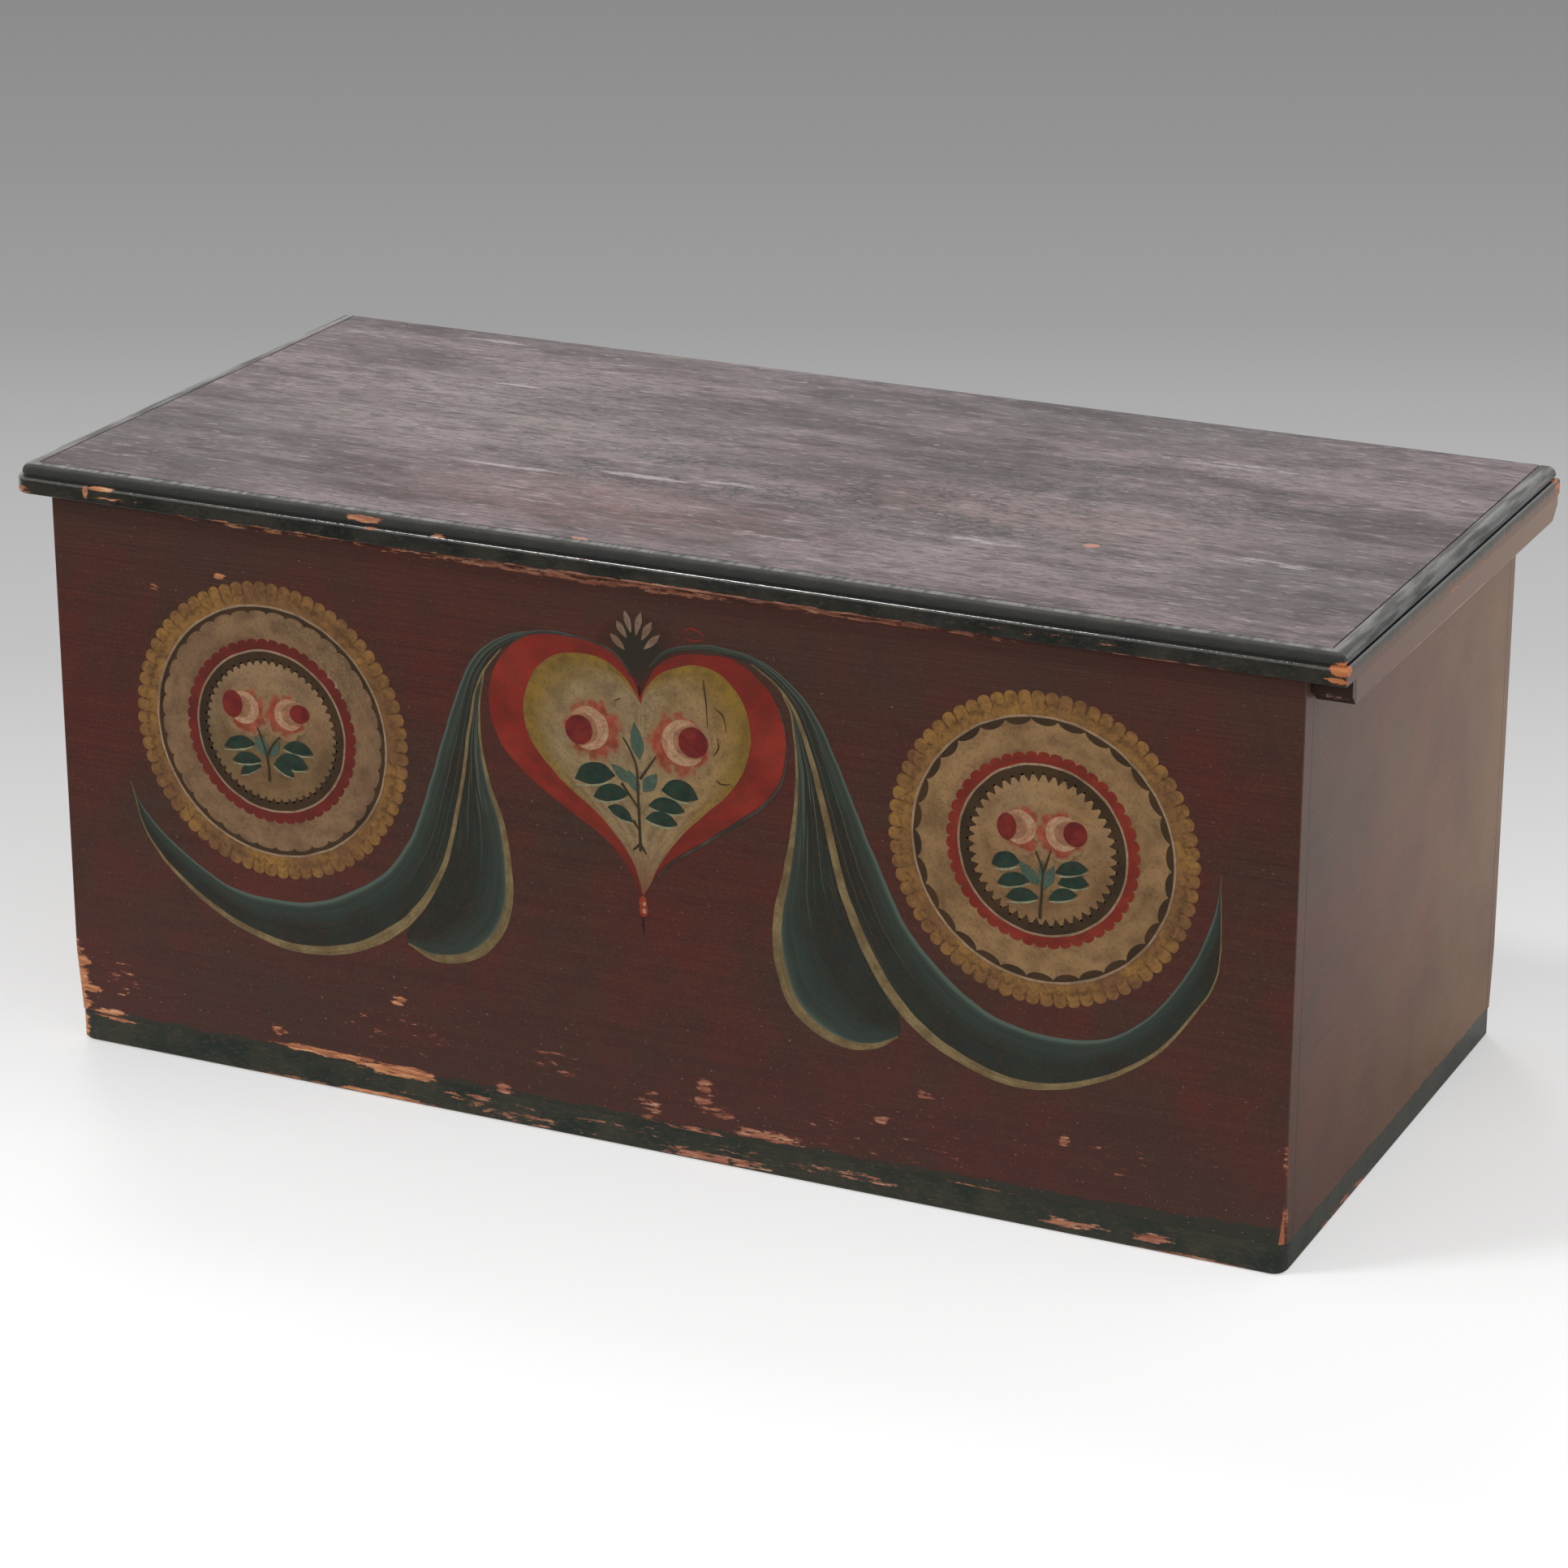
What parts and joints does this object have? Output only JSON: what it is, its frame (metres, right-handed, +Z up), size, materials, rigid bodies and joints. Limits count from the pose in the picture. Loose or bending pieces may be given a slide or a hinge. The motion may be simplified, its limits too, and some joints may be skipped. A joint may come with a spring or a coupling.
{
  "type": "blanket chest",
  "caption": "Low painted pine blanket chest: nailed board case, open till inside, lid with moulded mitred edge and end cleats on strap hinges; front painted with roundels, heart and plumes.",
  "frame": {"origin": "on the floor, under the middle of the chest's overall box", "axes": "+X along the chest to its right end, -Y towards the painted front, +Z up"},
  "size_m": [1.136, 0.5334, 0.5003],
  "materials": {
    "oxblood_paint": "aged oxblood oil paint on pine, satin",
    "lid_paint": "worn and crackled brown oil paint on pine, satin",
    "green_paint": "dark green oil paint on pine, glossy",
    "bare_pine": "bare pine, darkened with age",
    "wrought_iron": "hand-forged iron, dull brown-black"
  },
  "bodies": {
    "case": {"front_board": "oxblood_paint", "back_board": "oxblood_paint", "left_end_board": "oxblood_paint", "right_end_board": "oxblood_paint", "front_bottom_board": "green_paint", "rear_bottom_board": "green_paint", "front_corner_nails": "wrought_iron", "back_corner_nails": "wrought_iron", "bottom_nails": "wrought_iron", "till_front": "bare_pine", "till_bottom": "bare_pine", "till_nails": "wrought_iron", "left_hinge_leaf": "wrought_iron", "right_hinge_leaf": "wrought_iron", "left_hinge_pin": "wrought_iron", "right_hinge_pin": "wrought_iron", "left_leaf_nails": "wrought_iron", "right_leaf_nails": "wrought_iron"},
    "lid": {"lid_board": "lid_paint", "front_edge": "green_paint", "left_edge": "green_paint", "right_edge": "green_paint", "left_cleat": "oxblood_paint", "right_cleat": "oxblood_paint", "front_edge_nails": "wrought_iron", "left_edge_nails": "wrought_iron", "right_edge_nails": "wrought_iron", "left_cleat_nails": "wrought_iron", "right_cleat_nails": "wrought_iron", "left_hinge_strap": "wrought_iron", "right_hinge_strap": "wrought_iron", "left_strap_nails": "wrought_iron", "right_strap_nails": "wrought_iron"}
  },
  "joints": [
    {"name": "lid_hinge", "type": "hinge", "parent": "case", "child": "lid", "pos_m": [0, 0.263, 0.4758], "axis": [-1, 0, 0], "range_deg": [0, 100]}
  ]
}
